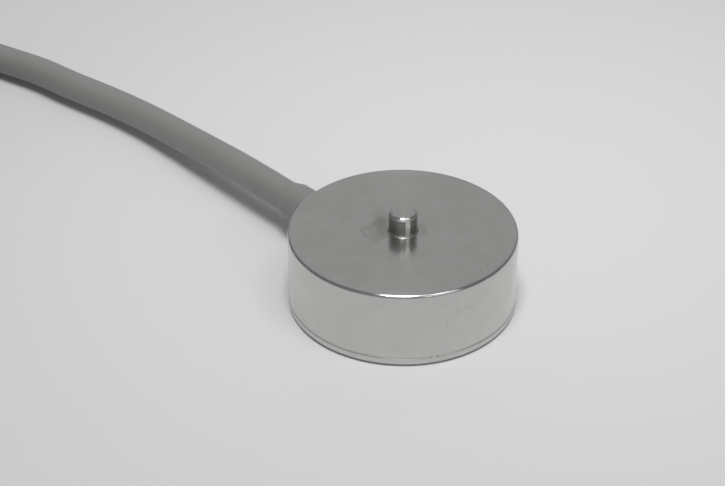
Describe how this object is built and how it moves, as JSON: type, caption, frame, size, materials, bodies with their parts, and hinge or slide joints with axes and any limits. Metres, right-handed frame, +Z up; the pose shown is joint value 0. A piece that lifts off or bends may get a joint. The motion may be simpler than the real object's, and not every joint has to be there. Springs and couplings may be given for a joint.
{
  "type": "weighing load cell",
  "caption": "Miniature button load cell for compression: a short steel disc with a load button on top and a thin signal cable out of its side.",
  "frame": {"origin": "centre of the base plate's underside, on the load axis", "axes": "+Z up the load axis out of the load button, cable out of the wall towards -X"},
  "size_m": [0.0936, 0.0581, 0.0193],
  "materials": {
    "stainless_steel": "fine turned, dull",
    "cover_steel": "fine turned, welded round its edge",
    "cable_jacket": "smooth matt jacket",
    "relief_sleeve": "smooth matt sleeve",
    "tie_plastic": "moulded nylon",
    "shrink_sleeve": "shrunk on",
    "core_red": "thin insulation",
    "core_white": "thin insulation",
    "core_green": "thin insulation",
    "core_black": "thin insulation",
    "tinned_wire": "tinned copper",
    "gauge_film": "amber film with a metal foil grid",
    "circuit_board": "printed board",
    "chip_ceramic": "chip with tinned ends",
    "crimp_metal": "plain turned"
  },
  "bodies": {
    "root": {"sensing_body": "stainless_steel", "base_plate": "cover_steel", "strain_gauge_inner_1": "gauge_film", "strain_gauge_inner_2": "gauge_film", "strain_gauge_outer_1": "gauge_film", "strain_gauge_outer_2": "gauge_film", "gauge_leads": "tinned_wire", "terminal_board": "circuit_board", "zero_resistor": "chip_ceramic", "span_resistor": "chip_ceramic", "crimp_ring": "crimp_metal", "cable_sleeve": "relief_sleeve", "cable_coil": "cable_jacket", "coil_tie_1": "tie_plastic", "coil_tie_2": "tie_plastic", "end_sleeve": "shrink_sleeve", "cable_run": "cable_jacket", "cable_tail": "cable_jacket", "lead_tips": "tinned_wire", "lead_shield": "tinned_wire", "core_red": "core_red", "lead_red": "core_red", "core_white": "core_white", "lead_white": "core_white", "core_green": "core_green", "lead_green": "core_green", "core_black": "core_black", "lead_black": "core_black"}
  },
  "joints": []
}
